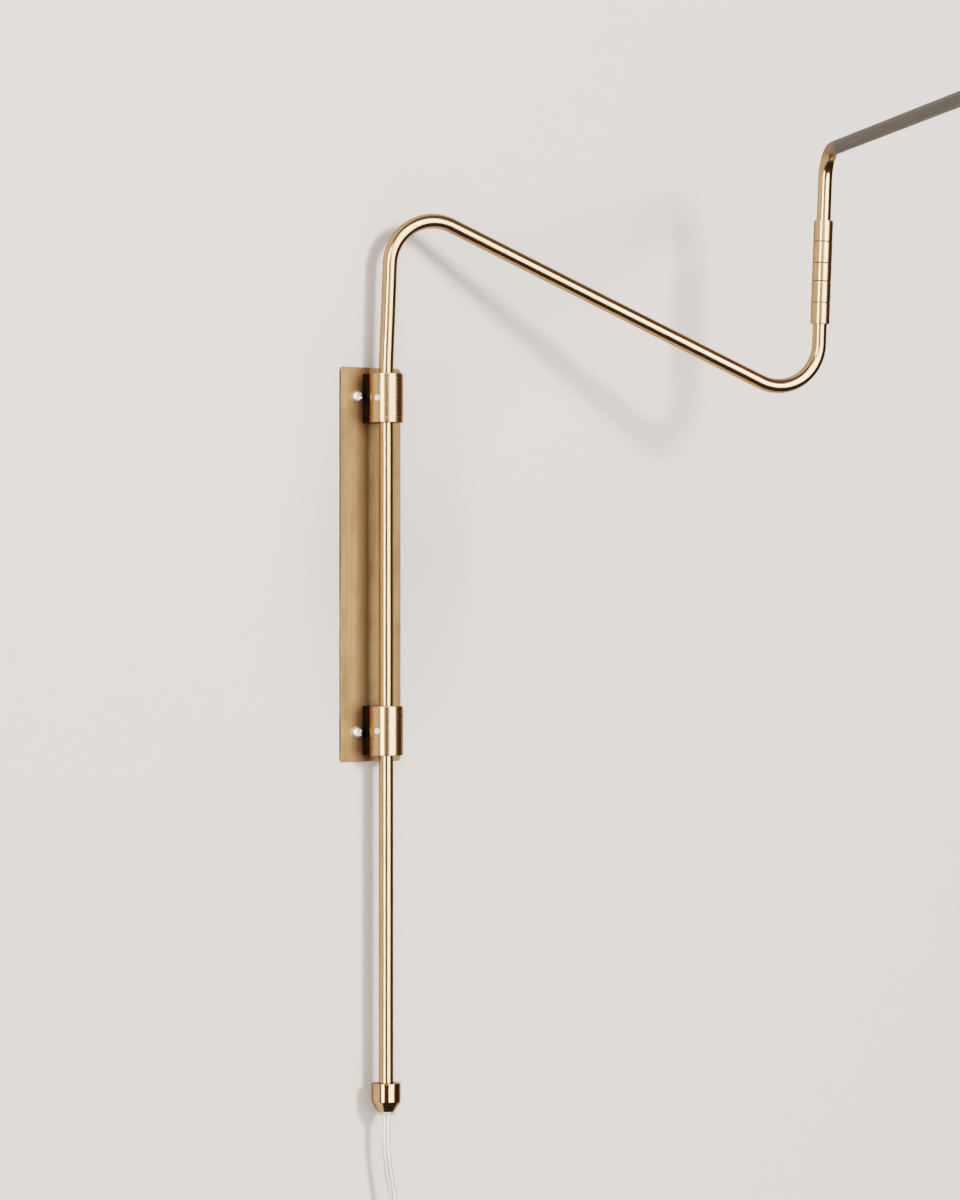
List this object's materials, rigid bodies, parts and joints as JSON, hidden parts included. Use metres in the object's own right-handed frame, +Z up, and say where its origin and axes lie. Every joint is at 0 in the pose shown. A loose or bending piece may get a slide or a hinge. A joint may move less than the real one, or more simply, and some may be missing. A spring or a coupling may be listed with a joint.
{
  "type": "swing arm wall sconce",
  "caption": "Plug-in wall sconce: brass pole turning and sliding in two collars on a back plate, bent first arm, ringed swivel, straight second arm with lamp holder and bulb.",
  "frame": {"origin": "centre of the wall plate's back face, in the wall plane", "axes": "+Z up along the plate and the pole, +Y into the wall, +X to the right as seen from the room"},
  "size_m": [0.3179, 0.5913, 0.9129],
  "materials": {
    "plate_brass": "brushed, lightly patinated",
    "tube_brass": "satin",
    "turned_brass": "turned satin",
    "black_brass": "blackened",
    "zinc_screw": "bright zinc plated",
    "dark_steel": "blackened",
    "bush_nylon": "matte black nylon",
    "clear_pvc": "clear, slightly cloudy",
    "wire_jacket": "white insulation",
    "phenolic": "moulded phenolic",
    "liner_fibre": "vulcanised fibre",
    "socket_metal": "formed sheet",
    "contact_brass": "bare",
    "opal_glass": "opal, satin",
    "bulb_nickel": "nickel plated",
    "knob_brass": "turned satin",
    "plug_blade": "nickel plated"
  },
  "bodies": {
    "bracket": {"wall_plate": "plate_brass", "wall_screws": "zinc_screw", "upper_standoff": "black_brass", "upper_collar": "turned_brass", "upper_bush": "bush_nylon", "upper_set_screw": "zinc_screw", "lower_standoff": "black_brass", "lower_collar": "turned_brass", "lower_bush": "bush_nylon", "lower_set_screw": "zinc_screw", "standoff_screws": "dark_steel"},
    "cord_end": {"cord_bushing": "clear_pvc", "cord_lead": "clear_pvc", "cord_tail": "clear_pvc", "cord_hank": "clear_pvc", "cord_tie": "bush_nylon", "plug_body": "clear_pvc", "plug_blades": "plug_blade"},
    "first_arm": {"first_arm_tube": "tube_brass", "tail_ferrule": "turned_brass", "knuckle_ring_1": "turned_brass", "knuckle_ring_2": "turned_brass", "knuckle_ring_3": "turned_brass", "knuckle_washers": "bush_nylon", "knuckle_pivot": "contact_brass", "knuckle_nut": "contact_brass", "first_arm_wire": "wire_jacket"},
    "second_arm": {"knuckle_ring_4": "turned_brass", "knuckle_ring_5": "turned_brass", "second_arm_tube": "tube_brass", "second_arm_wire": "wire_jacket", "socket_cap": "turned_brass", "cap_lock_ring": "turned_brass", "socket_shell": "turned_brass", "socket_liner": "liner_fibre", "socket_core": "phenolic", "terminal_screws": "contact_brass", "screw_shell": "socket_metal", "centre_contact": "contact_brass", "bulb_base": "bulb_nickel", "bulb_tip": "phenolic", "bulb_glass": "opal_glass"},
    "knob": {"switch_stem": "dark_steel", "switch_knob": "knob_brass"}
  },
  "joints": [
    {"name": "height_slide", "type": "slide", "parent": "bracket", "child": "cord_end", "axis": [0, 0, 1], "range_m": [0, 0.19]},
    {"name": "first_arm_swing", "type": "hinge", "parent": "cord_end", "child": "first_arm", "pos_m": [0, -0.0176, 0], "axis": [0, 0, 1], "range_deg": [-150, 18]},
    {"name": "second_arm_swing", "type": "hinge", "parent": "first_arm", "child": "second_arm", "pos_m": [0.28545, -0.13525, 0.21945], "axis": [0.0363, -0.015, 0.9992], "range_deg": [-70, 130]},
    {"name": "switch_turn", "type": "hinge", "parent": "second_arm", "child": "knob", "pos_m": [0.08542, -0.53364, 0.20844], "axis": [0.9993, 0.0003, -0.0363], "continuous": true}
  ]
}
